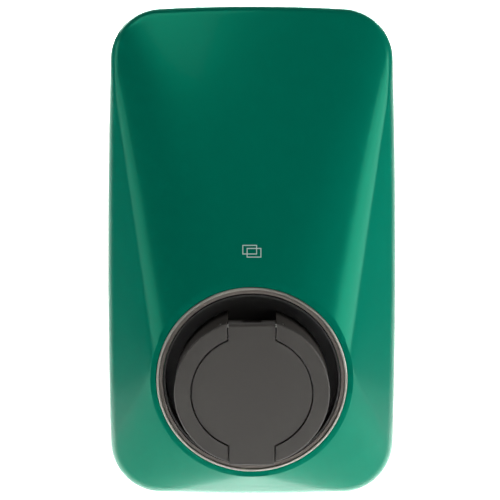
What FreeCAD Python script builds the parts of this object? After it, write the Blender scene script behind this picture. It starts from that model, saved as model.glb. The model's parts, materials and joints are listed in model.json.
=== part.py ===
import FreeCAD, Part
import math
import os

os.makedirs("parts", exist_ok=True)
V = FreeCAD.Vector

# A wall-mounted charging unit. X runs to the right, Z up, and the unit faces -Y.
# The origin is on the wall, in the middle of the bracket's four holes.
# "Depth" is the distance out from the wall, so a point at depth d has Y = -d.

# ---- Body outline (bowed sides and ends joined by corner arcs) and depths from the wall ----
BODY_WIDTH = 230.0
BODY_HEIGHT = 390.0
SIDE_BOW_RADIUS = 5200.0
END_BOW_RADIUS = 1300.0
CORNER_RADIUS = 42.0
OUTLINE_SAMPLES = 240
FLANK_PLANES = 20
BACK_WALL_DEPTH = 12.0
RIM_DEPTH = 44.0
SHOULDER_DEPTH = 62.0
HOUSING_WALL = 3.0
COVER_WALL = 3.0
FACET_TOP_DROP = 7.0
FACET_RING_DROP = 3.4

# ---- Housing joint ----
GASKET_THICKNESS = 2.0
GASKET_WIDTH = 2.2
SKIRT_WALL = 1.4
SEAM_GAP = 0.6
POST_RADIUS = 6.0
COVER_POST_X = 98.0
COVER_POST_Z = (-158.0, 0.0, 158.0)

# ---- Ring (light ring and cup) and collar (socket and lid) ----
RING_TILT = 11.0
RING_CENTRE_DEPTH = 108.0
RING_CENTRE_Z = -98.5
LIP_RADIUS = 76.5
RING_RADIUS = 72.0
RING_WIDTH = 2.1
RING_PROUD = 0.8
RING_DEPTH = 6.0
GUIDE_WIDTH = 2.4
GUIDE_SINK = 0.3
CUP_RADIUS = 65.2
CUP_WALL = 1.4
CUP_PROUD = 0.4
CUP_DEPTH = 13.0
CUP_FLOOR = 3.0
CUP_FLANGE_RADIUS = 81.0
CUP_SCREW_RADIUS = 77.5
CUP_SCREW_COUNT = 6

COLLAR_TILT = 15.0
COLLAR_RADIUS = 58.0
COLLAR_DROP = 6.0
COLLAR_PROUD = 14.0
LID_RADIUS = 45.0
LID_THICKNESS = 4.0
LID_SINK = 0.3
LID_GAP = 0.9
LID_CHAMFER = 0.5
TAB_WIDTH = 34.5
TAB_GAP = 0.9
FINGER_TAB_REACH = 57.6
NOTCH_DEPTH = 11.5
HINGE_HEIGHT = -4.2
HINGE_OFFSET = 52.0
KNUCKLE_RADIUS = 3.9
PIN_RADIUS = 1.5
PIN_LENGTH = 47.0
SPRING_WIRE = 0.3
SPRING_SPAN = 11.0
SPRING_PITCH = 1.1

# ---- Socket (a seven-contact charging outlet) ----
SEAT_DEPTH = 5.0
SOCKET_HEAD_RADIUS = 2.5
SOCKET_HEAD_SINK = 2.2
FLANGE_THICKNESS = 4.0
LEDGE_RADIUS = 38.5
LEDGE_THICKNESS = 4.0
SHROUD_RADIUS = 32.5
SHROUD_WALL = 3.0
INSULATOR_RADIUS = 27.5
INSULATOR_FLAT = 22.5
INSULATOR_SINK = 14.0
SOCKET_DEPTH = 56.0
SOCKET_BACK = 4.0
POWER_CONTACTS = ((-16.0, 1.0), (0.0, 0.0), (16.0, 1.0), (-8.5, -14.0), (8.5, -14.0))
SIGNAL_CONTACTS = ((-8.5, 14.0), (8.5, 14.0))
POWER_BORE = 3.0
SIGNAL_BORE = 1.5
CONTACT_WALL = 0.8
CONTACT_TAIL = 9.0
SEAL_RADIUS = 38.0
SEAL_WIDTH = 3.5
SEAL_GAP = 0.25

# ---- Plug lock ----
LOCK_DEPTH = 47.0
LOCK_PIN_RADIUS = 2.6
LOCK_PIN_LENGTH = 13.0
LOCK_NUT = 9.0
LOCK_SCREW_RADIUS = 1.5
LOCK_SCREW_LENGTH = 16.5
LOCK_MOTOR_RADIUS = 7.0
LOCK_MOTOR_LENGTH = 17.0
LOCK_CASE_HALF = 10.0
LOCK_CASE_WALL = 1.5

# ---- Electronics ----
BOARD_THICKNESS = 1.6
BOARD_STANDOFF = 12.0
BOARD_X = (-84.0, 84.0)
BOARD_Z = (-22.0, 166.0)
BOARD_SCREW_INSET = 6.0
OUTPUT_BLOCK = (52.0, 26.0, 24.0)
INPUT_BLOCK = (30.0, 20.0, 24.0)
SUPPLY_X = -71.0
SUPPLY_DEPTH = 33.0
SUPPLY_PITCH_RADIUS = 5.0
POWER_LEAD_RADIUS = 2.2
SIGNAL_LEAD_RADIUS = 0.9
LEAD_BEND = 7.0
TERMINAL_SIZE = (42.0, 30.0, 28.0)
TERMINAL_TOP_Z = -147.0

# ---- Wall bracket ----
BRACKET_SHEET = 3.0
BRACKET_WIDTH = 150.0
BRACKET_HEIGHT = 240.0
WALL_HOLE_X = 120.0
WALL_HOLE_Z = 200.0
WALL_HOLE_RADIUS = 3.5
HOOK_X = 45.0
HOOK_Z = 84.0
HOOK_WIDTH = 24.0
HOOK_REACH = 6.0
HOOK_RISE = 9.0
SECURING_X = 45.0
SECURING_Z = -84.0

# ---- Cable entries ----
GROMMET_X = 0.0
GROMMET_Z = -158.0
GROMMET_HOLE = 13.0
CABLE_RADIUS = 8.0
PLUG_X = 30.0
PLUG_RADIUS = 10.0
VENT_RADIUS = 5.0

# ---- Fits ----
SLIP = 0.1
THREAD_GAP = 0.05
RUN_FIT = 0.1
CLEAR = 0.4
M4_RADIUS = 2.0
M4_HEAD_RADIUS = 3.6
M4_HEAD_HEIGHT = 2.6
M3_RADIUS = 1.5
M3_HEAD_RADIUS = 2.8
M3_HEAD_HEIGHT = 2.0
M5_RADIUS = 2.5
M5_HEAD_RADIUS = 4.5
M5_HEAD_HEIGHT = 3.5
DRIVE_SHARE = 0.55


def save(node, shape):
    """Write one node's solid or group of solids."""
    shape.exportStep("parts/" + node + ".step")


# ---------------------------------------------------------------- local frames
def tilted_frame(tilt, centre):
    """A frame at centre whose local Z points out and down by tilt, and local Y up."""
    return FreeCAD.Placement(centre, FreeCAD.Rotation(V(1, 0, 0), 90.0 + tilt))


def placed(shape, frame):
    """A copy of the shape, moved from local coordinates into the frame."""
    copy = shape.copy()
    copy.Placement = frame.multiply(shape.Placement)
    return copy


RING = tilted_frame(RING_TILT, V(0, -RING_CENTRE_DEPTH, RING_CENTRE_Z))
COLLAR = tilted_frame(COLLAR_TILT, RING.multVec(V(0, -COLLAR_DROP, COLLAR_PROUD)))


# ---------------------------------------------------------------- simple solids
def cylinder(radius, low, high, x=0.0, y=0.0):
    """A cylinder along local Z between two heights."""
    return Part.makeCylinder(radius, high - low, V(x, y, low))


def tube(outer, inner, low, high, x=0.0, y=0.0):
    """A tube along local Z."""
    return cylinder(outer, low, high, x, y).cut(cylinder(inner, low, high, x, y))


def box(x_range, y_range, z_range):
    """A box from three (low, high) pairs."""
    size = [high - low for low, high in (x_range, y_range, z_range)]
    return Part.makeBox(size[0], size[1], size[2], V(x_range[0], y_range[0], z_range[0]))


def depth_box(x_range, depth_range, z_range):
    """A box given by its depths from the wall."""
    return box(x_range, (-depth_range[1], -depth_range[0]), z_range)


def depth_cylinder(radius, near, far, x, z):
    """A cylinder along Y between two depths from the wall."""
    return Part.makeCylinder(radius, far - near, V(x, -near, z), V(0, -1, 0))


def group(solids):
    """Several separate solids kept in one node."""
    return Part.makeCompound(solids)


def centred(middle, width):
    """The (low, high) pair of a width about its middle."""
    return (middle - width / 2, middle + width / 2)


def ring_positions(count, radius, start=0.0):
    """Points evenly spaced on a circle in local X and Y."""
    steps = [math.radians(start + 360.0 * k / count) for k in range(count)]
    return [(radius * math.cos(a), radius * math.sin(a)) for a in steps]


def depth_screw(shank, head, head_height, head_near, tip, x, z):
    """A cylinder-head screw along Y with its head nearest the wall and a hex drive."""
    body = depth_cylinder(shank, head_near, tip, x, z)
    body = body.fuse(depth_cylinder(head, head_near, head_near + head_height, x, z))
    drive = depth_cylinder(shank * DRIVE_SHARE, head_near, head_near + head_height / 2, x, z)
    return body.cut(drive)


def local_screw(shank, head, head_height, seat, tip, x, y):
    """A screw along local Z; its head bears on the seat and the shank ends at the tip."""
    outward = 1.0 if seat > tip else -1.0
    head_end = seat + outward * head_height
    socket_end = seat + outward * head_height / 2
    body = cylinder(shank, min(seat, tip), max(seat, tip), x, y)
    body = body.fuse(cylinder(head, min(seat, head_end), max(seat, head_end), x, y))
    return body.cut(cylinder(shank * DRIVE_SHARE, min(socket_end, head_end),
                             max(socket_end, head_end), x, y))


# ---------------------------------------------------------------- body surface
def corner_centre():
    """Centre (x, z) of the corner arc that is tangent to a side arc and an end arc."""
    side = BODY_WIDTH / 2 - SIDE_BOW_RADIUS
    end = BODY_HEIGHT / 2 - END_BOW_RADIUS
    to_side = SIDE_BOW_RADIUS - CORNER_RADIUS
    to_end = END_BOW_RADIUS - CORNER_RADIUS
    offset = (to_side ** 2 - to_end ** 2 - side ** 2 + end ** 2) / (2 * end)
    slope = side / end
    half = offset * slope - side
    square = 1 + slope ** 2
    rest = side ** 2 + offset ** 2 - to_side ** 2
    x = (math.sqrt(half ** 2 - square * rest) - half) / square
    return x, offset + slope * x


def outline_wire(inset, depth):
    """The outline, inset from the outside, at a depth: four bowed edges and four corner arcs."""
    x, z = corner_centre()
    side = V(BODY_WIDTH / 2 - SIDE_BOW_RADIUS, 0, 0)
    end = V(0, 0, BODY_HEIGHT / 2 - END_BOW_RADIUS)
    centre = V(x, 0, z)
    corner = CORNER_RADIUS - inset
    to_side = (centre - side).normalize()
    to_end = (centre - end).normalize()
    low = centre + to_side * corner
    high = centre + to_end * corner
    middle = centre + (to_side + to_end).normalize() * corner
    right = V(BODY_WIDTH / 2 - inset, 0, 0)
    top = V(0, 0, BODY_HEIGHT / 2 - inset)

    def at(point, mirror_x, mirror_z):
        return V(point.x * mirror_x, -depth, point.z * mirror_z)

    arcs = [(at(low, 1, -1), at(right, 1, 1), at(low, 1, 1)),
            (at(low, 1, 1), at(middle, 1, 1), at(high, 1, 1)),
            (at(high, 1, 1), at(top, 1, 1), at(high, -1, 1)),
            (at(high, -1, 1), at(middle, -1, 1), at(low, -1, 1)),
            (at(low, -1, 1), at(right, -1, 1), at(low, -1, -1)),
            (at(low, -1, -1), at(middle, -1, -1), at(high, -1, -1)),
            (at(high, -1, -1), at(top, 1, -1), at(high, 1, -1)),
            (at(high, 1, -1), at(middle, 1, -1), at(low, 1, -1))]
    return Part.Wire([Part.Arc(*three).toShape() for three in arcs])


def outline_prism(inset, near, far):
    """The body's outline as a prism between two depths."""
    return Part.Face(outline_wire(inset, near)).extrude(V(0, near - far, 0))


def flank_plane(angle, edge_points):
    """Point and outward normal of the plane that rests on the lip at an angle and on the body's edge."""
    turn = RING.Rotation
    radial = turn.multVec(V(math.cos(angle), math.sin(angle), 0))
    forward = turn.multVec(V(0, 0, 1))
    start = RING.Base + radial * LIP_RADIUS
    leans = [math.atan2((p - start).dot(radial), -(p - start).dot(forward)) for p in edge_points]
    lean = max(leans)
    return start, radial * math.cos(lean) + forward * math.sin(lean)


def above_plane(point, normal):
    """A large block that fills the space outside a plane."""
    reach = 2 * BODY_HEIGHT
    block = box((-reach, reach), (-reach, reach), (0, reach))
    block.Placement = FreeCAD.Placement(point, FreeCAD.Rotation(V(0, 0, 1), normal))
    return block


def facet_points():
    """Two points of the flat front facet: at the top edge and at the ring's lip."""
    top = V(0, -SHOULDER_DEPTH, BODY_HEIGHT / 2 - FACET_TOP_DROP)
    low = RING.multVec(V(0, LIP_RADIUS - FACET_RING_DROP, 0))
    return top, low


def facet_frame():
    """A frame on the facet: local Z points out of it and local Y runs up it."""
    top, low = facet_points()
    slope = math.degrees(math.atan2(top.y - low.y, top.z - low.z))
    return FreeCAD.Placement(low, FreeCAD.Rotation(V(1, 0, 0), 90.0 - slope))


def body_solid(inset, back_depth):
    """The front of the body as a solid: the outline's prism cut back to the flanks and the facet."""
    front = RING_CENTRE_DEPTH + LIP_RADIUS
    solid = outline_prism(inset, back_depth, front)
    edge_points = outline_wire(0.0, SHOULDER_DEPTH).discretize(OUTLINE_SAMPLES)
    for k in range(FLANK_PLANES):
        point, normal = flank_plane(2 * math.pi * k / FLANK_PLANES, edge_points)
        solid = solid.cut(above_plane(point - normal * inset, normal))
    outward = facet_frame().Rotation.multVec(V(0, 0, 1))
    solid = solid.cut(above_plane(facet_frame().Base - outward * inset, outward))
    face = RING.Rotation.multVec(V(0, 0, 1))
    return solid.cut(above_plane(RING.Base - face * inset, face))


# ---------------------------------------------------------------- wall bracket
def wall_bracket():
    """Pressed steel plate with four wall holes, a cable window and two upturned hooks."""
    plate = depth_box(centred(0, BRACKET_WIDTH), (0, BRACKET_SHEET), centred(0, BRACKET_HEIGHT))
    corners = [edge for edge in plate.Edges if abs(edge.tangentAt(0).y) > 0.9]
    plate = plate.makeFillet(12.0, corners)
    for x in centred(0, WALL_HOLE_X):
        for z in centred(0, WALL_HOLE_Z):
            plate = plate.cut(depth_cylinder(WALL_HOLE_RADIUS, -1, BRACKET_SHEET + 1, x, z))
    plate = plate.cut(depth_cylinder(28.0, -1, BRACKET_SHEET + 1, 0, 0))
    for x in (-HOOK_X, HOOK_X):
        shelf = depth_box(centred(x, HOOK_WIDTH), (BRACKET_SHEET, BRACKET_SHEET + HOOK_REACH),
                          (HOOK_Z, HOOK_Z + BRACKET_SHEET))
        lip = depth_box(centred(x, HOOK_WIDTH),
                        (HOOK_REACH, BRACKET_SHEET + HOOK_REACH), (HOOK_Z, HOOK_Z + HOOK_RISE))
        plate = plate.fuse(shelf).fuse(lip)
    return plate.removeSplitter()


def bracket_nuts():
    """Two threaded standoffs riveted to the plate, which the housing bears on."""
    nuts = []
    for x in (-SECURING_X, SECURING_X):
        nut = depth_cylinder(6.0, BRACKET_SHEET, BACK_WALL_DEPTH, x, SECURING_Z)
        bore = depth_cylinder(M5_RADIUS + THREAD_GAP, 0, BACK_WALL_DEPTH + 1, x, SECURING_Z)
        nuts.append(nut.cut(bore))
    return group(nuts)


# ---------------------------------------------------------------- rear housing
def board_posts():
    """(x, z) of the six board screws."""
    columns = (BOARD_X[0] + BOARD_SCREW_INSET, BOARD_X[1] - BOARD_SCREW_INSET)
    rows = (BOARD_Z[0] + BOARD_SCREW_INSET, sum(BOARD_Z) / 2, BOARD_Z[1] - BOARD_SCREW_INSET)
    return [(x, z) for x in columns for z in rows]


def cover_posts():
    """(x, z) of the six screws that hold the front cover."""
    return [(x, z) for x in (-COVER_POST_X, COVER_POST_X) for z in COVER_POST_Z]


def hanger_lug(x):
    """A moulded lug behind the back wall that drops over a bracket hook."""
    gap = CLEAR
    top = HOOK_Z + HOOK_RISE + gap
    arm = depth_box(centred(x, HOOK_WIDTH), (BRACKET_SHEET + gap, BACK_WALL_DEPTH),
                    (top, top + 4.0))
    lip = depth_box(centred(x, HOOK_WIDTH), (BRACKET_SHEET + gap, HOOK_REACH - gap),
                    (HOOK_Z + BRACKET_SHEET + gap, top))
    return arm.fuse(lip)


def rear_housing():
    """Moulded tray with a skirt to the wall, screw posts, lugs and the cable openings."""
    inner_floor = BACK_WALL_DEPTH + HOUSING_WALL
    tray = outline_prism(0.0, 0.0, RIM_DEPTH)
    tray = tray.cut(outline_prism(HOUSING_WALL, inner_floor, RIM_DEPTH + 1))
    tray = tray.cut(outline_prism(HOUSING_WALL, -1.0, BACK_WALL_DEPTH))
    for x, z in cover_posts():
        tray = tray.fuse(depth_cylinder(POST_RADIUS, BACK_WALL_DEPTH, RIM_DEPTH, x, z))
    for x, z in board_posts():
        tray = tray.fuse(depth_cylinder(4.0, BACK_WALL_DEPTH, inner_floor + BOARD_STANDOFF, x, z))
    for x in (-HOOK_X, HOOK_X):
        tray = tray.fuse(hanger_lug(x))
    for x, z in cover_posts():
        tray = tray.cut(depth_cylinder(M4_RADIUS + SLIP, 0, RIM_DEPTH + 1, x, z))
    for x, z in board_posts():
        tray = tray.cut(depth_cylinder(M3_RADIUS + THREAD_GAP, inner_floor,
                                       inner_floor + BOARD_STANDOFF + 1, x, z))
    for x in (-SECURING_X, SECURING_X):
        tray = tray.cut(depth_cylinder(M5_RADIUS + SLIP, 0, inner_floor + 1, x, SECURING_Z))
    tray = tray.cut(depth_cylinder(GROMMET_HOLE, 0, inner_floor + 1, GROMMET_X, GROMMET_Z))
    for x, radius in ((-PLUG_X, PLUG_RADIUS), (PLUG_X, VENT_RADIUS)):
        tray = tray.cut(Part.makeCylinder(radius, HOUSING_WALL * 3,
                                          V(x, -entry_depth(), -BODY_HEIGHT / 2 - 1)))
    return tray.removeSplitter()


def entry_depth():
    """Depth of the openings in the housing's bottom wall, midway along its inside."""
    return (BACK_WALL_DEPTH + HOUSING_WALL + RIM_DEPTH) / 2


def bottom_insert(x, radius, head_extra):
    """A push-in part in the bottom wall: a stem in the hole and a head inside."""
    bottom = -BODY_HEIGHT / 2
    stem = Part.makeCylinder(radius - SLIP, HOUSING_WALL + 1.0, V(x, -entry_depth(), bottom + 0.8))
    head = Part.makeCylinder(radius + head_extra, 2.0,
                             V(x, -entry_depth(), bottom + HOUSING_WALL + 1.0))
    return stem.fuse(head).removeSplitter()


def supply_grommet():
    """Rubber ring in the back wall that the supply cable comes through."""
    low = BACK_WALL_DEPTH
    high = BACK_WALL_DEPTH + HOUSING_WALL
    ring = depth_cylinder(GROMMET_HOLE - SLIP, low - 2.0, high + 2.0, GROMMET_X, GROMMET_Z)
    for start, end in ((low - 2.0, low), (high, high + 2.0)):
        ring = ring.fuse(depth_cylinder(GROMMET_HOLE + 2.5, start, end, GROMMET_X, GROMMET_Z))
    bore = depth_cylinder(CABLE_RADIUS, 0, high + 5, GROMMET_X, GROMMET_Z)
    return ring.cut(bore).removeSplitter()


def housing_gasket():
    """Rubber band between the housing's rim and the cover, just inside the cover's skirt."""
    inset = SKIRT_WALL + SLIP
    band = outline_prism(inset, RIM_DEPTH, RIM_DEPTH + GASKET_THICKNESS)
    inner = outline_prism(inset + GASKET_WIDTH, RIM_DEPTH - 1, RIM_DEPTH + GASKET_THICKNESS + 1)
    return band.cut(inner)


def cover_screws():
    """Six screws put in from behind, through the housing's posts into the cover."""
    near = BACK_WALL_DEPTH - M4_HEAD_HEIGHT
    tip = RIM_DEPTH + GASKET_THICKNESS + 12.0
    return group([depth_screw(M4_RADIUS, M4_HEAD_RADIUS, M4_HEAD_HEIGHT, near, tip, x, z)
                  for x, z in cover_posts()])


def securing_screws():
    """Two screws inside the housing that lock it to the bracket."""
    screws = []
    seat = BACK_WALL_DEPTH + HOUSING_WALL + 1.5
    for x in (-SECURING_X, SECURING_X):
        shank = depth_cylinder(M5_RADIUS, BRACKET_SHEET + 0.5, seat, x, SECURING_Z)
        head = depth_cylinder(M5_HEAD_RADIUS, seat, seat + M5_HEAD_HEIGHT, x, SECURING_Z)
        drive = depth_cylinder(M5_RADIUS * DRIVE_SHARE, seat + 1, seat + M5_HEAD_HEIGHT,
                               x, SECURING_Z)
        screws.append(shank.fuse(head).cut(drive))
    return group(screws)


def securing_washers():
    """Rubber-faced washers under the securing screws."""
    near = BACK_WALL_DEPTH + HOUSING_WALL
    return group([depth_cylinder(7.0, near, near + 1.5, x, SECURING_Z).cut(
        depth_cylinder(M5_RADIUS + SLIP, near - 1, near + 3, x, SECURING_Z))
        for x in (-SECURING_X, SECURING_X)])


# ---------------------------------------------------------------- front cover
def cup_screw_points():
    """Local (x, y) of the screws that hold the cup to the cover."""
    return ring_positions(CUP_SCREW_COUNT, CUP_SCREW_RADIUS, 30.0)


def front_cover():
    """Moulded shell: side walls, sloping flanks, a flat facet and a short tube for the ring."""
    back = RIM_DEPTH + GASKET_THICKNESS
    outer = body_solid(0.0, back)
    shell = outer.cut(body_solid(COVER_WALL, back - 1))
    skirt = outline_prism(0.0, RIM_DEPTH + SEAM_GAP, back)
    skirt = skirt.cut(outline_prism(SKIRT_WALL, RIM_DEPTH, back + 1))
    shell = shell.fuse(skirt)
    neck = placed(cylinder(LIP_RADIUS, -CUP_DEPTH, 0), RING).common(outer)
    shell = shell.fuse(neck)
    for x, y in cup_screw_points():
        boss = placed(cylinder(4.0, -CUP_DEPTH, 0, x, y), RING).common(outer)
        shell = shell.fuse(boss)
    for x, z in cover_posts():
        boss = depth_cylinder(POST_RADIUS, back, SHOULDER_DEPTH + 20, x, z).common(outer)
        shell = shell.fuse(boss)
    shell = shell.cut(placed(cylinder(RING_RADIUS + SLIP, -40, 40), RING))
    for x, y in cup_screw_points():
        pilot = cylinder(M3_RADIUS + THREAD_GAP, -CUP_DEPTH - 1, -CUP_DEPTH + 7, x, y)
        shell = shell.cut(placed(pilot, RING))
    for x, z in cover_posts():
        shell = shell.cut(depth_cylinder(M4_RADIUS + THREAD_GAP, back - 1, back + 13, x, z))
    return shell


def card_mark():
    """Thin printed film on the facet: the outlines of two overlapping blank cards."""
    line = 0.7
    film = 0.2
    solid = None
    for x, y in ((-1.6, 28.0), (1.6, 25.6)):
        card = box(centred(x, 11.0), centred(y, 7.4), (0, film))
        hole = box(centred(x, 11.0 - 2 * line), centred(y, 7.4 - 2 * line), (-1, film + 1))
        frame = card.cut(hole)
        solid = frame if solid is None else solid.fuse(frame)
    return placed(solid.removeSplitter(), facet_frame())


def reader_board():
    """Card reader's aerial board, bonded flat behind the facet."""
    board = box(centred(0, 62.0), (28.0, 68.0), (-COVER_WALL - BOARD_THICKNESS, -COVER_WALL))
    return placed(board, facet_frame())


def reader_shield():
    """Ferrite sheet behind the reader's aerial."""
    high = -COVER_WALL - BOARD_THICKNESS
    return placed(box(centred(0, 50.0), (31.0, 63.0), (high - 0.8, high)), facet_frame())


# ---------------------------------------------------------------- ring and cup
def step_depth():
    """Depth of the cup's step below the ring plane, where the light board sits."""
    return RING_DEPTH + BOARD_THICKNESS + 0.2


def recess_cup():
    """Dark cup round the socket: rim, step for the light board, floor and screw flange."""
    outer_rim = CUP_RADIUS + CUP_WALL
    cup = cylinder(outer_rim, -CUP_DEPTH, CUP_PROUD)
    cup = cup.fuse(cylinder(RING_RADIUS, -CUP_DEPTH, -step_depth()))
    cup = cup.fuse(cylinder(CUP_FLANGE_RADIUS, -CUP_DEPTH - CUP_FLOOR, -CUP_DEPTH))
    cup = cup.cut(cylinder(CUP_RADIUS, -CUP_DEPTH, CUP_PROUD + 1))
    for x, y in cup_screw_points():
        cup = cup.cut(cylinder(M3_RADIUS + SLIP, -CUP_DEPTH - CUP_FLOOR - 1, -CUP_DEPTH + 1, x, y))
    cup = placed(cup.removeSplitter(), RING)
    cup = cup.cut(placed(cylinder(LEDGE_RADIUS + 1.5, -60, 0), COLLAR))
    for x, y in collar_screw_points():
        cup = cup.cut(placed(cylinder(M3_RADIUS + SLIP, -60, -COLLAR_PROUD, x, y), COLLAR))
    return cup


def cup_screws():
    """Screws from behind that pull the cup's flange against the cover."""
    seat = -CUP_DEPTH - CUP_FLOOR
    return placed(group([local_screw(M3_RADIUS, M3_HEAD_RADIUS, M3_HEAD_HEIGHT, seat,
                                     -CUP_DEPTH + 6, x, y)
                         for x, y in cup_screw_points()]), RING)


def trim_ring():
    """Bright ring round the light guide."""
    ring = tube(RING_RADIUS, RING_RADIUS - RING_WIDTH, -RING_DEPTH, RING_PROUD)
    front = [edge for edge in ring.Edges if abs(edge.BoundBox.ZMin - RING_PROUD) < 0.01]
    return placed(ring.makeFillet(0.6, front), RING)


def light_guide_ring():
    """Smoked clear ring that spreads the status lights."""
    outer = RING_RADIUS - RING_WIDTH - SLIP
    return placed(tube(outer, outer - GUIDE_WIDTH, -RING_DEPTH, -GUIDE_SINK), RING)


def led_ring_board():
    """Ring-shaped board on the cup's step, behind the light guide."""
    low = -step_depth()
    return placed(tube(RING_RADIUS - 0.5, CUP_RADIUS + CUP_WALL + SLIP, low,
                       low + BOARD_THICKNESS), RING)


def collar_screw_points():
    """Local (x, y) of the screws that hold the collar to the cup's floor."""
    return ring_positions(4, (COLLAR_RADIUS + LID_RADIUS) / 2 + 0.3, 45.0)


# ---------------------------------------------------------------- collar and lid
def socket_screw_points():
    """Local (x, y) of the screws through the socket's flange."""
    return ring_positions(4, (LEDGE_RADIUS + LID_RADIUS) / 2, 45.0)


def notch(gap):
    """The slot that the lid's hinge tab lies in, open down to the root outside the knuckle."""
    width = centred(0, TAB_WIDTH + 2 * gap)
    seat = box(width, (LID_RADIUS - 6, COLLAR_RADIUS + 5), (-NOTCH_DEPTH, 5))
    open_side = box(width, (HINGE_OFFSET - KNUCKLE_RADIUS, COLLAR_RADIUS + 5), (-60, 5))
    return seat.fuse(open_side)


def socket_collar():
    """Raised drum round the socket, cut square at its root to stand on the cup's floor."""
    length = COLLAR_PROUD + CUP_DEPTH + 12
    bore = LID_RADIUS + LID_GAP
    drum = cylinder(COLLAR_RADIUS, -length, 0)
    rim = [edge for edge in drum.Edges
           if edge.BoundBox.ZMin > -0.01 and edge.BoundBox.XLength > 1]
    drum = drum.makeFillet(1.0, rim)
    drum = drum.cut(cylinder(bore, -SEAT_DEPTH - FLANGE_THICKNESS, 1))
    drum = drum.cut(cylinder(LEDGE_RADIUS, -length, 1))
    drum = drum.cut(cylinder(bore, -length - 1, -SEAT_DEPTH - FLANGE_THICKNESS - LEDGE_THICKNESS))
    drum = drum.cut(notch(TAB_GAP))
    finger = box(centred(0, TAB_WIDTH + 2 * TAB_GAP), (-COLLAR_RADIUS - 5, -LID_RADIUS + 6),
                 (-LID_SINK - LID_THICKNESS - CLEAR, 5))
    drum = drum.cut(finger)
    pin_hole = Part.makeCylinder(PIN_RADIUS + THREAD_GAP, PIN_LENGTH + 1.0,
                                 V(-PIN_LENGTH / 2 - 0.5, HINGE_OFFSET, HINGE_HEIGHT),
                                 V(1, 0, 0))
    drum = drum.cut(pin_hole)
    for x, y in socket_screw_points():
        drum = drum.cut(cylinder(M3_RADIUS + THREAD_GAP, -length, 0, x, y))
    drum = placed(drum, COLLAR)
    below = box((-200, 200), (-200, 200), (-100, -CUP_DEPTH))
    drum = drum.cut(placed(below, RING))
    for x, y in collar_screw_points():
        drum = drum.cut(placed(cylinder(M3_RADIUS + THREAD_GAP, -60, -16, x, y), COLLAR))
    return drum


def collar_screws():
    """Screws from behind the cup's floor into the collar."""
    screws = []
    for x, y in collar_screw_points():
        seat = floor_height(y) - 0.6
        screws.append(local_screw(M3_RADIUS, M3_HEAD_RADIUS, M3_HEAD_HEIGHT, seat, -17.0, x, y))
    return placed(group(screws), COLLAR)


def floor_height(y):
    """Height, in the collar's frame, of the back of the cup's floor at a local y."""
    lean = math.radians(COLLAR_TILT - RING_TILT)
    return -(COLLAR_PROUD + CUP_DEPTH + CUP_FLOOR) / math.cos(lean) - abs(y) * math.tan(lean) \
        - M3_HEAD_RADIUS * math.tan(lean)


def socket_lid():
    """Flat round lid with a hinge tab above and a finger tab below."""
    low = -LID_SINK - LID_THICKNESS
    high = -LID_SINK
    lid = cylinder(LID_RADIUS, low, high)
    arm = box(centred(0, TAB_WIDTH), (0, HINGE_OFFSET), (low, high))
    finger = box(centred(0, TAB_WIDTH), (-FINGER_TAB_REACH, 0), (low, high))
    knuckle = Part.makeCylinder(KNUCKLE_RADIUS, TAB_WIDTH,
                                V(-TAB_WIDTH / 2, HINGE_OFFSET, HINGE_HEIGHT), V(1, 0, 0))
    lid = lid.fuse(arm).fuse(finger).fuse(knuckle)
    window = box(centred(0, SPRING_SPAN + 3), (HINGE_OFFSET - 6, HINGE_OFFSET + 6),
                 (HINGE_HEIGHT - 6, low + 2.4))
    lid = lid.cut(window)
    bore = Part.makeCylinder(PIN_RADIUS + RUN_FIT, TAB_WIDTH + 2,
                             V(-TAB_WIDTH / 2 - 1, HINGE_OFFSET, HINGE_HEIGHT), V(1, 0, 0))
    lid = lid.cut(bore).removeSplitter()
    face = [edge for edge in lid.Edges if edge.BoundBox.ZMin > high - 0.01
            and edge.BoundBox.YMax < HINGE_OFFSET - 0.5]
    return placed(lid.makeChamfer(LID_CHAMFER, face), COLLAR)


def lid_hinge_pin():
    """Steel pin through the collar and the lid's knuckle."""
    return placed(Part.makeCylinder(PIN_RADIUS, PIN_LENGTH,
                                    V(-PIN_LENGTH / 2, HINGE_OFFSET, HINGE_HEIGHT),
                                    V(1, 0, 0)), COLLAR)


def lid_spring():
    """Torsion spring coiled round the pin, in the knuckle's window."""
    mean = PIN_RADIUS + SLIP / 2 + SPRING_WIRE
    helix = Part.makeHelix(SPRING_PITCH, SPRING_SPAN, mean)
    profile = Part.Wire(Part.makeCircle(SPRING_WIRE, V(mean, 0, 0), V(0, 1, 0)))
    coil = Part.Wire(helix.Edges).makePipeShell([profile], True, True)
    coil.Placement = FreeCAD.Placement(V(-SPRING_SPAN / 2, HINGE_OFFSET, HINGE_HEIGHT),
                                       FreeCAD.Rotation(V(0, 1, 0), 90))
    return placed(coil, COLLAR)


def lid_seal():
    """Rubber ring on the back of the lid."""
    high = -LID_SINK - LID_THICKNESS
    return placed(tube(SEAL_RADIUS, SEAL_RADIUS - SEAL_WIDTH, -SEAT_DEPTH + SEAL_GAP, high), COLLAR)


# ---------------------------------------------------------------- socket
def contact_places():
    """(x, y, bore) of the seven contacts."""
    power = [(x, y, POWER_BORE) for x, y in POWER_CONTACTS]
    return power + [(x, y, SIGNAL_BORE) for x, y in SIGNAL_CONTACTS]


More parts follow.
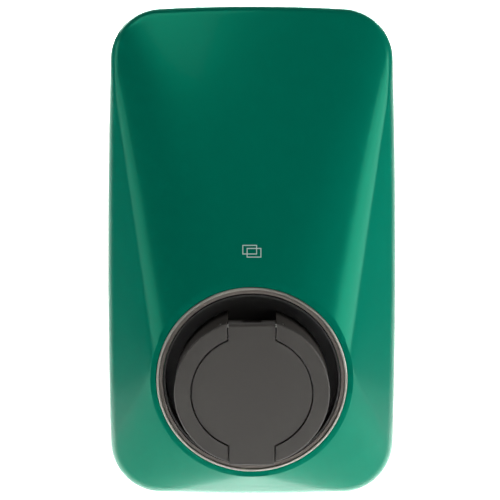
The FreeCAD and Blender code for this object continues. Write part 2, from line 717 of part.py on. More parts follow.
def socket_body():
    """Outlet moulding: flange, shroud and back."""
    seat = -SEAT_DEPTH - FLANGE_THICKNESS
    back = -SOCKET_DEPTH - SOCKET_BACK
    body = cylinder(LID_RADIUS + LID_GAP - SLIP, seat, -SEAT_DEPTH)
    body = body.fuse(cylinder(SHROUD_RADIUS + SHROUD_WALL, back, seat))
    body = body.cut(cylinder(SHROUD_RADIUS, -SOCKET_DEPTH, 0))
    for x, y, bore in contact_places():
        body = body.cut(cylinder(bore + CONTACT_WALL, back - 1, 0, x, y))
    for x, y in socket_screw_points():
        body = body.cut(cylinder(M3_RADIUS + SLIP, seat - 1, 0, x, y))
        body = body.cut(cylinder(SOCKET_HEAD_RADIUS + SLIP, -SEAT_DEPTH - SOCKET_HEAD_SINK, 0, x, y))
    passage = Part.makeCylinder(LOCK_PIN_RADIUS + SLIP, 20.0, V(25.0, 0, -LOCK_DEPTH), V(1, 0, 0))
    return placed(body.cut(passage).removeSplitter(), COLLAR)


def contact_carrier():
    """Insulating block with a flat top that stands in the outlet and holds the contacts."""
    block = cylinder(INSULATOR_RADIUS, -SOCKET_DEPTH, -INSULATOR_SINK)
    block = block.cut(box((-40, 40), (INSULATOR_FLAT, 40), (-SOCKET_DEPTH - 1, 0)))
    mouth = -INSULATOR_SINK - 3
    for x, y, bore in contact_places():
        block = block.cut(cylinder(bore + CONTACT_WALL, -SOCKET_DEPTH - 1, mouth, x, y))
        block = block.cut(cylinder(bore, mouth - 1, 0, x, y))
    return placed(block, COLLAR)


def socket_screws():
    """Four screws through the socket's flange into the collar's ledge."""
    tip = -SEAT_DEPTH - FLANGE_THICKNESS - 3.5
    return placed(group([local_screw(M3_RADIUS, SOCKET_HEAD_RADIUS, M3_HEAD_HEIGHT,
                                     -SEAT_DEPTH - SOCKET_HEAD_SINK, tip, x, y)
                         for x, y in socket_screw_points()]), COLLAR)


def contact(bore, x, y):
    """A sprung sleeve contact with a solid tail at the back."""
    back = -SOCKET_DEPTH - SOCKET_BACK
    sleeve = cylinder(bore + CONTACT_WALL - 0.02, back, -INSULATOR_SINK - 3.2, x, y)
    sleeve = sleeve.cut(cylinder(bore, back + 8, 0, x, y))
    tail = cylinder(bore - 0.4, back - CONTACT_TAIL, back, x, y)
    return sleeve.fuse(tail).removeSplitter()


def contacts(bore, points):
    """A group of contacts."""
    return placed(group([contact(bore, x, y) for x, y in points]), COLLAR)


# ---------------------------------------------------------------- plug lock
def lock_x():
    """Where the lock's parts start and end along local X, from the socket outwards."""
    tip = SHROUD_RADIUS + 0.4
    nut = tip + LOCK_PIN_LENGTH
    motor = nut + LOCK_NUT + 8.5
    return tip, nut, motor


def across(radius, low, high):
    """A cylinder along local X on the lock's axis."""
    return Part.makeCylinder(radius, high - low, V(low, 0, -LOCK_DEPTH), V(1, 0, 0))


def lock_pin():
    """Bolt that slides into the plug, with the nut block that the lead screw drives."""
    tip, nut, motor = lock_x()
    block = box((nut, nut + LOCK_NUT), centred(0, 8.0), centred(-LOCK_DEPTH, 8.0))
    slider = across(LOCK_PIN_RADIUS, tip, nut).fuse(block)
    return placed(slider.cut(across(LOCK_SCREW_RADIUS + RUN_FIT, nut + 0.5, motor)), COLLAR)


def lock_leadscrew():
    """Lead screw on the lock motor's shaft."""
    tip, nut, motor = lock_x()
    return placed(across(LOCK_SCREW_RADIUS, motor - LOCK_SCREW_LENGTH, motor + 2.0), COLLAR)


def lock_motor():
    """Small motor that turns the lead screw."""
    tip, nut, motor = lock_x()
    can = across(LOCK_MOTOR_RADIUS, motor, motor + LOCK_MOTOR_LENGTH)
    return placed(can.cut(across(LOCK_SCREW_RADIUS + RUN_FIT, motor - 1, motor + 2.5)), COLLAR)


def lock_case_range():
    """Local X range of the lock's case."""
    tip, nut, motor = lock_x()
    return (SHROUD_RADIUS + SHROUD_WALL + 0.5,
            motor + LOCK_MOTOR_LENGTH + LOCK_CASE_WALL + SLIP)


def lock_case():
    """Open box that carries the lock, with the bolt's hole and a saddle for the motor."""
    tip, nut, motor = lock_x()
    half = LOCK_CASE_HALF
    inside = half - LOCK_CASE_WALL
    low, high = lock_case_range()
    case = box((low, high), (-half, half), (-LOCK_DEPTH - half, -LOCK_DEPTH + half))
    hollow = box((low + LOCK_CASE_WALL, high - LOCK_CASE_WALL), (-inside, inside),
                 (-LOCK_DEPTH - half - 1, -LOCK_DEPTH + inside))
    case = case.cut(hollow)
    saddle = box((motor + 3, motor + 9), (-inside, inside),
                 (-LOCK_DEPTH - inside, -LOCK_DEPTH + inside))
    case = case.fuse(saddle.cut(across(LOCK_MOTOR_RADIUS + THREAD_GAP, 0, 200)))
    return placed(case.cut(across(LOCK_PIN_RADIUS + SLIP, 0, nut - 5)).removeSplitter(), COLLAR)


def lock_case_cover():
    """Lid on the back of the lock's case."""
    low, high = lock_case_range()
    half = LOCK_CASE_HALF
    back = -LOCK_DEPTH - half
    return placed(box((low, high), (-half, half), (back - 1.5, back)), COLLAR)


# ---------------------------------------------------------------- electronics
def board_face():
    """Depth of the main board's component face."""
    return BACK_WALL_DEPTH + HOUSING_WALL + BOARD_STANDOFF + BOARD_THICKNESS


def main_board():
    """Main circuit board on the housing's posts."""
    board = depth_box(BOARD_X, (board_face() - BOARD_THICKNESS, board_face()), BOARD_Z)
    for x, z in board_posts():
        board = board.cut(depth_cylinder(M3_RADIUS + SLIP, 0, 60, x, z))
    return board


def board_screws():
    """Six screws that hold the main board."""
    screws = []
    seat = board_face()
    for x, z in board_posts():
        shank = depth_cylinder(M3_RADIUS, seat - 9, seat, x, z)
        screws.append(shank.fuse(depth_cylinder(M3_HEAD_RADIUS, seat, seat + M3_HEAD_HEIGHT, x, z)))
    return group(screws)


def on_board(x, z, width, height, rise):
    """A rectangular component standing on the main board."""
    return depth_box(centred(x, width), (board_face(), board_face() + rise), centred(z, height))


def capacitors():
    """Three upright smoothing capacitors."""
    return group([depth_cylinder(8.0, board_face(), board_face() + 28.0, x, 92.0)
                  for x in (-62.0, -42.0, -22.0)])


def output_block():
    """Terminals on the main board for the leads to the socket."""
    width, height, rise = OUTPUT_BLOCK
    return on_board(0, BOARD_Z[0] + height / 2, width, height, rise)


def input_block():
    """Terminals on the main board for the supply leads."""
    width, height, rise = INPUT_BLOCK
    return on_board(SUPPLY_X, BOARD_Z[0] + height / 2 + 14, width, height, rise)


def supply_points():
    """(x, depth) of the five supply leads, bunched to pass through the current sensor."""
    return [(SUPPLY_X + x, SUPPLY_DEPTH + 5.0 + y)
            for x, y in ring_positions(5, SUPPLY_PITCH_RADIUS, 90.0)]


def supply_leads():
    """Five straight leads from the supply terminals up to the main board."""
    top = BOARD_Z[0] + 14.0
    return group([Part.makeCylinder(POWER_LEAD_RADIUS, top - TERMINAL_TOP_Z,
                                    V(x, -depth, TERMINAL_TOP_Z)) for x, depth in supply_points()])


def residual_current_sensor():
    """Ring core that the supply leads pass through."""
    inner = SUPPLY_PITCH_RADIUS + POWER_LEAD_RADIUS + 0.8
    centre = V(SUPPLY_X, -SUPPLY_DEPTH - 5.0, -78.0)
    ring = Part.makeCylinder(inner + 8.0, 14.0, centre)
    return ring.cut(Part.makeCylinder(inner, 14.0, centre))


def sensor_bracket():
    """Moulded foot that holds the ring core off the back wall."""
    inner = SUPPLY_PITCH_RADIUS + POWER_LEAD_RADIUS + 0.8
    foot = depth_box(centred(SUPPLY_X, 24.0), (BACK_WALL_DEPTH + HOUSING_WALL, SUPPLY_DEPTH),
                     (-77.0, -65.0))
    return foot.cut(Part.makeCylinder(inner + 8.0, 40.0, V(SUPPLY_X, -SUPPLY_DEPTH - 5.0, -90.0)))


def terminal_block():
    """Five-pole block that the installer's supply cable is wired to."""
    width, height, rise = TERMINAL_SIZE
    low = BACK_WALL_DEPTH + HOUSING_WALL
    block = depth_box(centred(SUPPLY_X, width), (low, low + rise),
                      (TERMINAL_TOP_Z - height, TERMINAL_TOP_Z))
    for x in terminal_columns():
        block = block.cut(depth_cylinder(M4_HEAD_RADIUS + SLIP, low + rise - 4.0, low + rise + 1,
                                         x, TERMINAL_TOP_Z - 10.0))
    return block


def terminal_columns():
    """X of the five terminal screws."""
    pitch = TERMINAL_SIZE[0] / 5
    return [SUPPLY_X + pitch * k for k in (-2, -1, 0, 1, 2)]


def terminal_screws():
    """Clamp screws in the supply terminals."""
    high = BACK_WALL_DEPTH + HOUSING_WALL + TERMINAL_SIZE[2] - 1.0
    return group([depth_screw_front(x, TERMINAL_TOP_Z - 10.0, high) for x in terminal_columns()])


def depth_screw_front(x, z, high):
    """A slotted clamp screw whose head faces out."""
    head = depth_cylinder(M4_HEAD_RADIUS, high - 3.0, high, x, z)
    slot = depth_box(centred(x, 10.0), (high - 1.0, high + 1), centred(z, 0.9))
    return head.cut(slot)


def rounded_path(points, bend):
    """A wire through the points with each corner rounded by an arc."""
    edges = []
    start = points[0]
    for before, corner, after in zip(points, points[1:], points[2:]):
        back = (before - corner).normalize()
        ahead = (after - corner).normalize()
        half = back.getAngle(ahead) / 2
        trim = bend / math.tan(half)
        entry = corner + back * trim
        leave = corner + ahead * trim
        middle = (back + ahead).normalize()
        summit = corner + middle * (bend / math.sin(half) - bend)
        edges.append(Part.makeLine(start, entry))
        edges.append(Part.Arc(entry, summit, leave).toShape())
        start = leave
    edges.append(Part.makeLine(start, points[-1]))
    return Part.Wire(edges)


def lead(points, radius):
    """A round lead along a rounded path."""
    wire = rounded_path(points, LEAD_BEND)
    first = wire.Edges[0]
    profile = Part.Wire(Part.makeCircle(radius, points[0], first.tangentAt(first.FirstParameter)))
    return wire.makePipeShell([profile], True, True)


def socket_leads(points, radius, run_depth):
    """Leads from contact tails back towards the wall and up to the output block."""
    leads = []
    end_height = -SOCKET_DEPTH - SOCKET_BACK - CONTACT_TAIL
    for x, y in points:
        start = COLLAR.multVec(V(x, y, end_height))
        run = (-start.y - run_depth) / math.cos(math.radians(COLLAR_TILT))
        corner = COLLAR.multVec(V(x, y, end_height - run))
        leads.append(lead([start, corner, V(x, -run_depth, BOARD_Z[0])], radius))
    return group(leads)


PARTS = {
    "wall_bracket": wall_bracket,
    "bracket_nuts": bracket_nuts,
    "rear_housing": rear_housing,
    "bottom_blanking_plug": lambda: bottom_insert(-PLUG_X, PLUG_RADIUS, 2.0),
    "pressure_vent": lambda: bottom_insert(PLUG_X, VENT_RADIUS, 2.0),
    "supply_grommet": supply_grommet,
    "housing_gasket": housing_gasket,
    "cover_screws": cover_screws,
    "securing_screws": securing_screws,
    "securing_washers": securing_washers,
    "front_cover": front_cover,
    "card_mark": card_mark,
    "reader_board": reader_board,
    "reader_shield": reader_shield,
    "recess_cup": recess_cup,
    "cup_screws": cup_screws,
    "trim_ring": trim_ring,
    "light_guide_ring": light_guide_ring,
    "led_ring_board": led_ring_board,
    "socket_collar": socket_collar,
    "collar_screws": collar_screws,
    "socket_lid": socket_lid,
    "lid_hinge_pin": lid_hinge_pin,
    "lid_spring": lid_spring,
    "lid_seal": lid_seal,
    "socket_body": socket_body,
    "contact_carrier": contact_carrier,
    "socket_screws": socket_screws,
    "power_contacts": lambda: contacts(POWER_BORE, POWER_CONTACTS),
    "signal_contacts": lambda: contacts(SIGNAL_BORE, SIGNAL_CONTACTS),
    "lock_pin": lock_pin,
    "lock_leadscrew": lock_leadscrew,
    "lock_motor": lock_motor,
    "lock_case": lock_case,
    "lock_case_cover": lock_case_cover,
    "main_board": main_board,
    "board_screws": board_screws,
    "capacitors": capacitors,
    "output_block": output_block,
    "input_block": input_block,
    "supply_leads": supply_leads,
    "residual_current_sensor": residual_current_sensor,
    "sensor_bracket": sensor_bracket,
    "terminal_block": terminal_block,
    "terminal_screws": terminal_screws,
    "power_relays": lambda: group([on_board(x, 40.0, 34.0, 44.0, 30.0) for x in (-22.0, 22.0)]),
    "power_supply": lambda: on_board(44.0, 104.0, 60.0, 46.0, 24.0),
    "meter_module": lambda: on_board(-46.0, 136.0, 52.0, 28.0, 12.0),
    "control_module": lambda: on_board(30.0, 150.0, 44.0, 24.0, 6.0),
    "power_leads": lambda: socket_leads(POWER_CONTACTS, POWER_LEAD_RADIUS, 40.0),
    "signal_leads": lambda: socket_leads(SIGNAL_CONTACTS, SIGNAL_LEAD_RADIUS, 48.0),
}

for node, make in PARTS.items():
    save(node, make())
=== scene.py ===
import json

import bmesh
import bpy
import numpy as np
from bpy.props import FloatProperty, FloatVectorProperty, PointerProperty
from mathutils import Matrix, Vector


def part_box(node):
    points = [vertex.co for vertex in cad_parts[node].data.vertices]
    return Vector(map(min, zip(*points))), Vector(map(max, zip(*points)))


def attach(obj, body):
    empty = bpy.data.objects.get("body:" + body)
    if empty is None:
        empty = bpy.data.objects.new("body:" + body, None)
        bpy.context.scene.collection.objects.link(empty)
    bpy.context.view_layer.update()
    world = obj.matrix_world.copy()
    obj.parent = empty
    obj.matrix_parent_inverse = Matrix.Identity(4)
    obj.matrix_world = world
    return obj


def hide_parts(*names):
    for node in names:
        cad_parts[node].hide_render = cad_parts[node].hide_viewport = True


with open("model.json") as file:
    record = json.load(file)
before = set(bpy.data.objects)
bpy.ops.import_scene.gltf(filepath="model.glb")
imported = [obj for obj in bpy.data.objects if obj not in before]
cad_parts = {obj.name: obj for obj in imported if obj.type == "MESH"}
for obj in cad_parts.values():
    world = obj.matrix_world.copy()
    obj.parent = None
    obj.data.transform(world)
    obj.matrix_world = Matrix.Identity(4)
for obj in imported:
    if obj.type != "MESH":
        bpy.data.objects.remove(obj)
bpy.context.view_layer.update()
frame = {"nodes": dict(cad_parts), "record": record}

bl_info = {
    "name": "Wall charging unit",
    "version": (1, 0, 0),
    "blender": (4, 5, 0),
    "location": "3D View > Sidebar > Charging unit",
    "description": "Moulded cover, finishes and studio for a wall charging unit",
    "category": "Object",
}

MM = 0.001
ROOT = "unit"
COLUMNS = 720
PLANES = 360
OUTSIDE_ROWS = 84
INSIDE_ROWS = 12
ROUNDING_STEPS = 9
WALL_SHARES = (0.0, 0.5)
OFF_AXIS = 1e-4
SHARP_ANGLE = np.radians(38)

# ---------------------------------------------------------------- sizes from the frame
COVER_LOW, COVER_HIGH = (np.array(corner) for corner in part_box("front_cover"))
HALF_WIDTH = COVER_HIGH[0]
HALF_HEIGHT = COVER_HIGH[2]
RIM_DEPTH = -COVER_HIGH[1]

# The bowed outline, the shoulder and the ring, as the design gives them.
SIDE_BOW = 5200 * MM
END_BOW = 1300 * MM
CORNER = 42 * MM
SHOULDER_DEPTH = 62 * MM
RING_TILT = np.radians(11.0)
RING_CENTRE = np.array([0.0, -108 * MM, -98.5 * MM])
LIP_RADIUS = 76.5 * MM
BORE_RADIUS = 72.1 * MM
BORE_LENGTH = 13 * MM
FACET_TOP_DROP = 7 * MM
FACET_RING_DROP = 3.4 * MM
WALL = 3 * MM
INSIDE_ROUND = 2 * MM
EASE_WIDTH = 0.4 * MM
EASE_START = 0.05 * MM
EASE_DEPTH = 0.5 * MM
BORE_FOOT = 1.5 * MM
BEYOND_FRONT = 1.0
RIGHT = np.array([1.0, 0.0, 0.0])
RING_UP = np.array([0.0, -np.sin(RING_TILT), np.cos(RING_TILT)])
RING_OUT = np.array([0.0, -np.cos(RING_TILT), -np.sin(RING_TILT)])


def settings():
    """The add-on's settings in the current scene."""
    return bpy.context.scene.charging_unit


class ChargingUnitSettings(bpy.types.PropertyGroup):
    """Sizes and colours that a user would change."""

    shoulder_round: FloatProperty(
        name="Shoulder rounding", description="Radius where the cover's side turns to its front",
        default=7 * MM, unit="LENGTH")
    facet_round: FloatProperty(
        name="Facet rounding", description="Width of the soft edge round the flat front facet",
        default=3 * MM, unit="LENGTH")
    cover_colour: FloatVectorProperty(
        name="Cover", description="Colour of the gloss cover, in sRGB",
        default=(0.0, 0.41, 0.33), subtype="COLOR_GAMMA")
    collar_colour: FloatVectorProperty(
        name="Collar and lid", description="Colour of the socket's collar and lid, in sRGB",
        default=(0.204, 0.192, 0.180), subtype="COLOR_GAMMA")
    ring_colour: FloatVectorProperty(
        name="Trim ring", description="Colour of the satin ring, in sRGB",
        default=(0.66, 0.65, 0.62), subtype="COLOR_GAMMA")


# ---------------------------------------------------------------- the cover's surface
def outline(angle, inset):
    """Outline points (x, z) at an even turn of angle, inset from the outside.

    Each quarter is two bowed edges joined by a corner arc. A direction from the middle meets
    the side's arc up to where the corner begins, and the end's arc up to where the corner
    begins on that side. Every direction between the two meets the corner's arc.
    """
    side = HALF_WIDTH - SIDE_BOW
    end = HALF_HEIGHT - END_BOW
    to_side = SIDE_BOW - CORNER
    to_end = END_BOW - CORNER
    offset = (to_side ** 2 - to_end ** 2 - side ** 2 + end ** 2) / (2 * end)
    slope = side / end
    half = offset * slope - side
    square = 1 + slope ** 2
    rest = side ** 2 + offset ** 2 - to_side ** 2
    centre_x = (np.sqrt(half ** 2 - square * rest) - half) / square
    centre_z = offset + slope * centre_x
    aim = np.stack([HALF_WIDTH * np.abs(np.cos(angle)), HALF_HEIGHT * np.abs(np.sin(angle))])
    aim = aim / np.linalg.norm(aim, axis=0)

    def crossing(x, z, radius):
        along = aim[0] * x + aim[1] * z
        return along + np.sqrt(np.maximum(along ** 2 - x ** 2 - z ** 2 + radius ** 2, 0))

    at_side = crossing(side, 0.0, SIDE_BOW - inset)
    at_end = crossing(0.0, end, END_BOW - inset)
    at_corner = crossing(centre_x, centre_z, CORNER - inset)
    limit_side = np.arctan2(centre_z, centre_x - side)
    limit_end = np.arctan2(centre_x, centre_z - end)
    point_angle_side = np.arctan2(aim[1] * at_side, aim[0] * at_side - side)
    point_angle_end = np.arctan2(aim[0] * at_end, aim[1] * at_end - end)
    reach = np.where(point_angle_side <= limit_side, at_side,
                     np.where(point_angle_end <= limit_end, at_end, at_corner))
    return (np.sign(np.cos(angle)) * aim[0] * reach, np.sign(np.sin(angle)) * aim[1] * reach)


def ring_point(angle, radius, height):
    """Points on a circle about the ring's axis, at a height out of the ring's plane."""
    flat = np.multiply.outer(np.cos(angle), RIGHT) + np.multiply.outer(np.sin(angle), RING_UP)
    return RING_CENTRE + radius * flat + height * RING_OUT


def flank_planes():
    """Points and outward normals of planes that rest on both the lip and the shoulder's outline.

    At each angle round the lip the plane holds the lip's tangent, and leans out as far as
    the outermost shoulder point seen from there.
    """
    around = np.linspace(0, 2 * np.pi, PLANES, endpoint=False)
    edge_x, edge_z = outline(around + OFF_AXIS, 0.0)
    edge = np.stack([edge_x, np.full(PLANES, -SHOULDER_DEPTH), edge_z], axis=1)
    start = ring_point(around, LIP_RADIUS, 0.0)
    radial = np.multiply.outer(np.cos(around), RIGHT) + np.multiply.outer(np.sin(around), RING_UP)
    gap = edge[None, :, :] - start[:, None, :]
    lean = np.arctan2(np.einsum("kij,kj->ki", gap, radial), -(gap @ RING_OUT)).max(axis=1)
    return start, radial * np.cos(lean)[:, None] + np.multiply.outer(np.sin(lean), RING_OUT)


def facet_depth(z):
    """Depth of the flat facet, a straight slope from near the top edge to near the lip's top."""
    top_z = HALF_HEIGHT - FACET_TOP_DROP
    low = RING_CENTRE + (LIP_RADIUS - FACET_RING_DROP) * RING_UP
    return SHOULDER_DEPTH + (top_z - z) * (-low[1] - SHOULDER_DEPTH) / (top_z - low[2])


def front_depth(x, z, start, normal, inset):
    """Depth of the cover's front: the least of all flank planes, softly joined to the facet.

    start and normal already hold the inset of the flank planes; inset moves the facet too.
    """
    flank = np.full(x.shape, BEYOND_FRONT)
    for point, out in zip(start, normal):
        plane = -point[1] + (out[0] * (x - point[0]) + out[2] * (z - point[2])) / out[1]
        flank = np.minimum(flank, plane)
    facet = facet_depth(z) - inset
    width = settings().facet_round
    near = np.maximum(width - np.abs(flank - facet), 0) / width
    return np.minimum(flank, facet) - near ** 2 * width / 4


def loop_angles():
    """Even angles round a loop, kept off the axes where the outline's sign would be zero."""
    return np.linspace(0, 2 * np.pi, COLUMNS, endpoint=False) + 0.5 * np.pi / COLUMNS


def cover_rows(inset, rounding, front_rows):
    """Rows of points from the rim to the ring's bore, each row a closed loop."""
    angle = loop_angles()
    start, normal = flank_planes()
    start = start - normal * inset
    lip = ring_point(angle, LIP_RADIUS - inset, -inset)
    rows = []
    steps = np.linspace(0, np.pi / 2, ROUNDING_STEPS)
    edge_x, edge_z = outline(angle, inset)
    shoulder = front_depth(edge_x, edge_z, start, normal, inset) - rounding
    for share in WALL_SHARES:
        depth = RIM_DEPTH + share * (shoulder - RIM_DEPTH)
        rows.append(np.stack([edge_x, -depth, edge_z], axis=1))
    for step in steps:
        x, z = outline(angle, inset + rounding * (1 - np.cos(step)))
        depth = front_depth(x, z, start, normal, inset) - rounding * (1 - np.sin(step))
        rows.append(np.stack([x, -depth, z], axis=1))
    in_x, in_z = outline(angle, inset + rounding)
    for share in np.linspace(0, 1, front_rows)[1:]:
        x = in_x + (lip[:, 0] - in_x) * share
        z = in_z + (lip[:, 2] - in_z) * share
        rows.append(np.stack([x, -front_depth(x, z, start, normal, inset), z], axis=1))
    return rows


def loops_mesh(name, rows, closed):
    """A mesh of quads between loops of points; closed also joins the last loop to the first."""
    points = np.concatenate(rows)
    count = len(rows)
    row = np.arange(count if closed else count - 1)[:, None]
    column = np.arange(COLUMNS)[None, :]
    ahead = (column + 1) % COLUMNS
    above = (row + 1) % count
    quads = np.stack([row * COLUMNS + column, above * COLUMNS + column,
                      above * COLUMNS + ahead, row * COLUMNS + ahead], axis=-1).reshape(-1, 4)
    mesh = bpy.data.meshes.new(name)
    mesh.from_pydata(points.tolist(), [], quads.tolist())
    mesh.validate()
    piece = bpy.data.objects.new(name, mesh)
    bpy.context.scene.collection.objects.link(piece)
    return piece


def point_outwards(piece):
    """Recalculates the normals of a closed mesh so that they face out."""
    work = bmesh.new()
    work.from_mesh(piece.data)
    bmesh.ops.recalc_face_normals(work, faces=work.faces)
    work.to_mesh(piece.data)
    work.free()


def build_cover():
    """The cover as one closed skin: outside, lip, bore, then back along the inside."""
    angle = loop_angles()
    outside = cover_rows(0.0, settings().shoulder_round, OUTSIDE_ROWS)
    bore = [ring_point(angle, BORE_RADIUS + EASE_WIDTH, -EASE_START),
            ring_point(angle, BORE_RADIUS, -EASE_DEPTH),
            ring_point(angle, BORE_RADIUS, -BORE_LENGTH)]
    inner_lip = ring_point(angle, BORE_RADIUS + BORE_FOOT, -BORE_LENGTH)
    inside = cover_rows(WALL, INSIDE_ROUND, INSIDE_ROWS)[::-1]
    piece = loops_mesh("cover_shell", outside + bore + [inner_lip] + inside[2:], True)
    point_outwards(piece)
    piece.data.shade_smooth()
    piece.data.set_sharp_from_angle(angle=SHARP_ANGLE)
    return piece


# ---------------------------------------------------------------- materials
FINE_DETAIL = 3.0
BROAD_SCALE = 12.0
BROAD_DETAIL = 2.0
ROUGHNESS_SWING = 0.05
LEAST_ROUGHNESS = 0.02
BUMP_DEPTH = 0.1 * MM
COAT_ROUGHNESS = 0.04

# Where the mix node keeps its two colours and its mixed colour.
FIRST_COLOUR = 6
SECOND_COLOUR = 7
MIXED_COLOUR = 2


def linear(colour):
    """sRGB (hex text or three parts) to linear, with alpha."""
    if isinstance(colour, str):
        colour = [int(colour[k:k + 2], 16) / 255 for k in (1, 3, 5)]
    parts = [c / 12.92 if c <= 0.04045 else ((c + 0.055) / 1.055) ** 2.4 for c in colour]
    return (*parts, 1.0)


def add(tree, kind, values=None, links=None, **attributes):
    """Adds a node, with attributes, socket values and links from other nodes' sockets."""
    node = tree.nodes.new(kind)
    for name, value in attributes.items():
        setattr(node, name, value)
    for name, value in (values or {}).items():
        node.inputs[name].default_value = value
    for name, socket in (links or {}).items():
        tree.links.new(socket, node.inputs[name])
    return node


def finish(name, colour, roughness, metallic=0.0, grain_mm=1.0, grain=0.05, variation=0.08, coat=0.0,
           tint=None):
    """A shader whose colour, roughness and bump vary with a fine and a broad noise.

    grain_mm is the size of the surface's texture, grain its bump, variation the colour's change.
    tint colours the gloss of a pigmented skin.
    """
    material = bpy.data.materials.new(name)
    material.use_nodes = True
    tree = material.node_tree
    tree.nodes.clear()
    place = add(tree, "ShaderNodeTexCoord").outputs["Object"]
    fine = add(tree, "ShaderNodeTexNoise", {"Scale": 1 / (grain_mm * MM), "Detail": FINE_DETAIL},
               {"Vector": place})
    broad = add(tree, "ShaderNodeTexNoise", {"Scale": BROAD_SCALE, "Detail": BROAD_DETAIL},
                {"Vector": place})
    base = np.array(linear(colour)[:3])
    mix = add(tree, "ShaderNodeMix", data_type="RGBA", links={"Factor": broad.outputs["Fac"]})
    mix.inputs[FIRST_COLOUR].default_value = (*(base * (1 - variation)), 1)
    mix.inputs[SECOND_COLOUR].default_value = (*np.minimum(base * (1 + variation), 1), 1)
    rough = add(tree, "ShaderNodeMapRange",
                {"To Min": max(roughness - ROUGHNESS_SWING, LEAST_ROUGHNESS),
                 "To Max": roughness + ROUGHNESS_SWING},
                {"Value": fine.outputs["Fac"]})
    bump = add(tree, "ShaderNodeBump", {"Strength": grain, "Distance": BUMP_DEPTH},
               {"Height": fine.outputs["Fac"]})
    shader = add(tree, "ShaderNodeBsdfPrincipled",
                 {"Metallic": metallic, "Coat Weight": coat, "Coat Roughness": COAT_ROUGHNESS,
                  "Specular Tint": linear(tint) if tint else (1, 1, 1, 1)},
                 {"Base Color": mix.outputs[MIXED_COLOUR], "Roughness": rough.outputs["Result"],
                  "Normal": bump.outputs["Normal"]})
    add(tree, "ShaderNodeOutputMaterial", links={"Surface": shader.outputs["BSDF"]})
    return material


def dress(nodes, material):
    """Gives carried-over parts a material."""
    for node in nodes:
        mesh = frame["nodes"][node].data
        mesh.materials.clear()
        mesh.materials.append(material)


# Parts whose finish differs from the one of their slot.
OWN_FINISH = ("socket_collar", "socket_lid", "recess_cup")


# ---------------------------------------------------------------- operators
class CHARGER_OT_cover(bpy.types.Operator):
    """Builds the gloss moulded cover"""

    bl_idname = "charger.cover"
    bl_label = "Front cover"

    def execute(self, context):
        """Moulded gloss ASA: deep colour under a clear skin with faint orange peel."""
        piece = build_cover()
        piece.data.materials.append(finish("gloss_asa_cover", settings().cover_colour, 0.2,
                                           grain_mm=4.0, grain=0.006, variation=0.02, coat=0.02,
                                           tint="#00e0a8"))
        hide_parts("front_cover")
        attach(piece, ROOT)
        return {"FINISHED"}


class CHARGER_OT_socket(bpy.types.Operator):
    """Finishes the collar, lid, cup and outlet"""

    bl_idname = "charger.socket"
    bl_label = "Socket and lid"

    def execute(self, context):
        """Fine-textured nylon, dark and soft in the light; the cup is painted darker than the
        collar, as painted shade for the deep recess.
        """
        dress(["socket_collar", "socket_lid"],
              finish("textured_nylon", settings().collar_colour, 0.5, grain_mm=0.7, grain=0.25))
        # The cup's near-black colour, darker than the collar's, is painted shade standing in for the
        # recess's shadow.
        dress(["recess_cup"], finish("nylon_cup_painted_shade", "#1c1b19", 0.6, grain_mm=0.7, grain=0.2))
        dress(["socket_body"], finish("grey_insulator", "#45464a", 0.45, grain_mm=0.8, grain=0.1))
        dress(["power_contacts", "signal_contacts"],
              finish("silver_plate", "#cfcac0", 0.25, 1.0, grain_mm=0.5))
        return {"FINISHED"}


class CHARGER_OT_ring(bpy.types.Operator):
    """Finishes the trim ring and the light guide"""

    bl_idname = "charger.ring"
    bl_label = "Light ring"

    def execute(self, context):
        """Satin metallised ring, and a smoked guide that looks grey-brown when unlit."""
        dress(["trim_ring"], finish("satin_silver", settings().ring_colour, 0.3, 0.9, grain_mm=0.5))
        dress(["light_guide_ring"], finish("smoked_guide", "#6e6660", 0.35, grain_mm=1.0))
        dress(["card_mark"], finish("pale_print", "#b9cfc8", 0.5, grain_mm=0.4))
        return {"FINISHED"}


class CHARGER_OT_inside(bpy.types.Operator):
    """Finishes the case, the bracket, fasteners and electronics"""

    bl_idname = "charger.inside"
    bl_label = "Case and inside parts"

    def execute(self, context):
        """One finish for each of the record's remaining slots."""
        finishes = {
            "dark_housing": finish("textured_pc_housing", "#2a2b2b", 0.55, grain_mm=0.9, grain=0.3),
            "black_plastic": finish("black_nylon", "#2e2c2a", 0.5, grain_mm=0.7, grain=0.2),
            "rubber": finish("epdm_rubber", "#1a1a1a", 0.8, grain_mm=0.6, grain=0.2),
            "bracket_steel": finish("powder_coated_steel", "#9a9b9b", 0.5, grain_mm=0.6, grain=0.3),
            "screw_steel": finish("zinc_plated_steel", "#b4b4b0", 0.3, 1.0, grain_mm=0.4),
            "board": finish("green_solder_mask", "#1e5a38", 0.35, grain_mm=1.2),
            "component_black": finish("moulded_epoxy", "#1c1c1d", 0.5, grain_mm=0.5, grain=0.2),
            "component_white": finish("polyamide_terminal", "#d4d4ce", 0.5, grain_mm=0.6),
            "can_metal": finish("drawn_aluminium", "#b8b8b8", 0.3, 1.0, grain_mm=0.5),
            "ferrite": finish("sintered_ferrite", "#26241f", 0.7, grain_mm=0.4, grain=0.3),
            "lead_insulation": finish("soft_pvc", "#3b2a20", 0.45, grain_mm=0.6),
        }
        for part in frame["record"]["subparts"]:
            if part["material_slot"] in finishes and part["node"] not in OWN_FINISH:
                dress([part["node"]], finishes[part["material_slot"]])
        return {"FINISHED"}


# ---------------------------------------------------------------- studio
FLOOR_Z = -0.6
BACKDROP_Y = 2.2
BACKDROP_TOP = 4
STAGE_HALF = 4
WORLD_COLOUR = (0.9, 0.92, 0.95, 1)
WORLD_STRENGTH = 0.05
CAMERA_PLACE = (-0.0014, -1.05, 0.0)
CAMERA_LENS = 90.0
CAMERA_SENSOR = 36.0

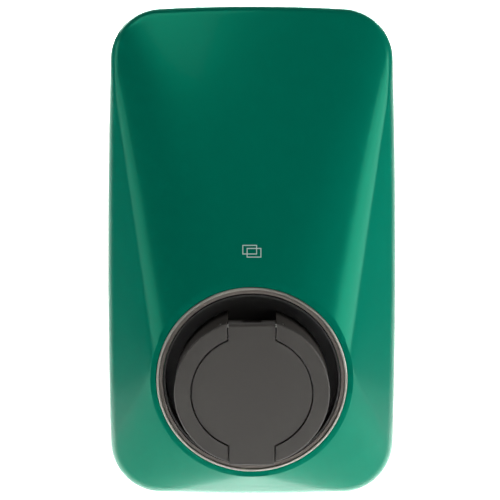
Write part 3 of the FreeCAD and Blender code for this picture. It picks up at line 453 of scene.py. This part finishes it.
# Name, place, point aimed at, width, height and power of each soft box.
SOFT_BOXES = (
    ("right_box", (1.0, -0.45, 0.05), (0, -0.05, 0.0), 0.6, 1.0, 11.0),
    ("left_box", (-1.1, -0.4, 0.25), (0, -0.05, 0.0), 0.5, 1.0, 4.0),
    ("top_box", (-0.35, -0.9, 1.2), (0, -0.05, -0.05), 0.7, 0.5, 4.5),
    ("backdrop_box", (0.0, 0.9, 1.4), (0, BACKDROP_Y, 0.0), 2.5, 1.0, 330.0),
)


def plane(name, corners, material):
    """A flat stage surface with four corners."""
    mesh = bpy.data.meshes.new(name)
    mesh.from_pydata(corners, [], [(0, 1, 2, 3)])
    mesh.materials.append(material)
    piece = bpy.data.objects.new(name, mesh)
    bpy.context.scene.collection.objects.link(piece)


def area_light(name, place, aim, width, height, power):
    """A soft box at a place, facing a point."""
    light = bpy.data.lights.new(name, "AREA")
    light.shape = "RECTANGLE"
    light.size = width
    light.size_y = height
    light.energy = power
    lamp = bpy.data.objects.new(name, light)
    lamp.location = place
    lamp.rotation_euler = (Vector(aim) - Vector(place)).to_track_quat("-Z", "Y").to_euler()
    bpy.context.scene.collection.objects.link(lamp)


class CHARGER_OT_stage(bpy.types.Operator):
    """Adds the floor, backdrop, lights and camera"""

    bl_idname = "charger.stage"
    bl_label = "Studio"

    def execute(self, context):
        """A pale room with a large soft box on the right, a weaker one on the left and one above."""
        pale = finish("pale_studio_paint", "#f4f4f2", 0.9, variation=0.01)
        plane("floor", [(-STAGE_HALF, -STAGE_HALF, FLOOR_Z), (STAGE_HALF, -STAGE_HALF, FLOOR_Z),
                        (STAGE_HALF, STAGE_HALF, FLOOR_Z), (-STAGE_HALF, STAGE_HALF, FLOOR_Z)], pale)
        plane("backdrop", [(-STAGE_HALF, BACKDROP_Y, FLOOR_Z), (STAGE_HALF, BACKDROP_Y, FLOOR_Z),
                           (STAGE_HALF, BACKDROP_Y, BACKDROP_TOP),
                           (-STAGE_HALF, BACKDROP_Y, BACKDROP_TOP)], pale)
        for box in SOFT_BOXES:
            area_light(*box)
        world = bpy.data.worlds.new("studio")
        world.use_nodes = True
        world.node_tree.nodes["Background"].inputs["Color"].default_value = WORLD_COLOUR
        world.node_tree.nodes["Background"].inputs["Strength"].default_value = WORLD_STRENGTH
        bpy.context.scene.world = world
        bpy.context.scene.view_settings.view_transform = "Standard"
        lens = bpy.data.cameras.new("camera")
        lens.lens = CAMERA_LENS
        lens.sensor_width = CAMERA_SENSOR
        camera = bpy.data.objects.new("camera", lens)
        camera.location = CAMERA_PLACE
        camera.rotation_euler = (np.pi / 2, 0, 0)
        bpy.context.scene.collection.objects.link(camera)
        bpy.context.scene.camera = camera
        return {"FINISHED"}


class CHARGER_PT_panel(bpy.types.Panel):
    """Settings and pieces of the charging unit"""

    bl_idname = "CHARGER_PT_panel"
    bl_label = "Charging unit"
    bl_space_type = "VIEW_3D"
    bl_region_type = "UI"
    bl_category = "Charging unit"

    def draw(self, context):
        """Lists the settings, then a button for each operator."""
        for name in ChargingUnitSettings.__annotations__:
            self.layout.prop(settings(), name)
        for operator in OPERATORS:
            self.layout.operator(operator.bl_idname)


OPERATORS = (CHARGER_OT_cover, CHARGER_OT_socket, CHARGER_OT_ring, CHARGER_OT_inside,
             CHARGER_OT_stage)
CLASSES = (ChargingUnitSettings, *OPERATORS, CHARGER_PT_panel)


def register():
    """Registers the classes and the scene's settings."""
    for cls in CLASSES:
        bpy.utils.register_class(cls)
    bpy.types.Scene.charging_unit = PointerProperty(type=ChargingUnitSettings)


def unregister():
    """Removes the settings and the classes."""
    del bpy.types.Scene.charging_unit
    for cls in reversed(CLASSES):
        bpy.utils.unregister_class(cls)


def main():
    """Runs every operator in order."""
    register()
    bpy.ops.charger.cover()
    bpy.ops.charger.socket()
    bpy.ops.charger.ring()
    bpy.ops.charger.inside()
    bpy.ops.charger.stage()


if __name__ == "__main__":
    main()
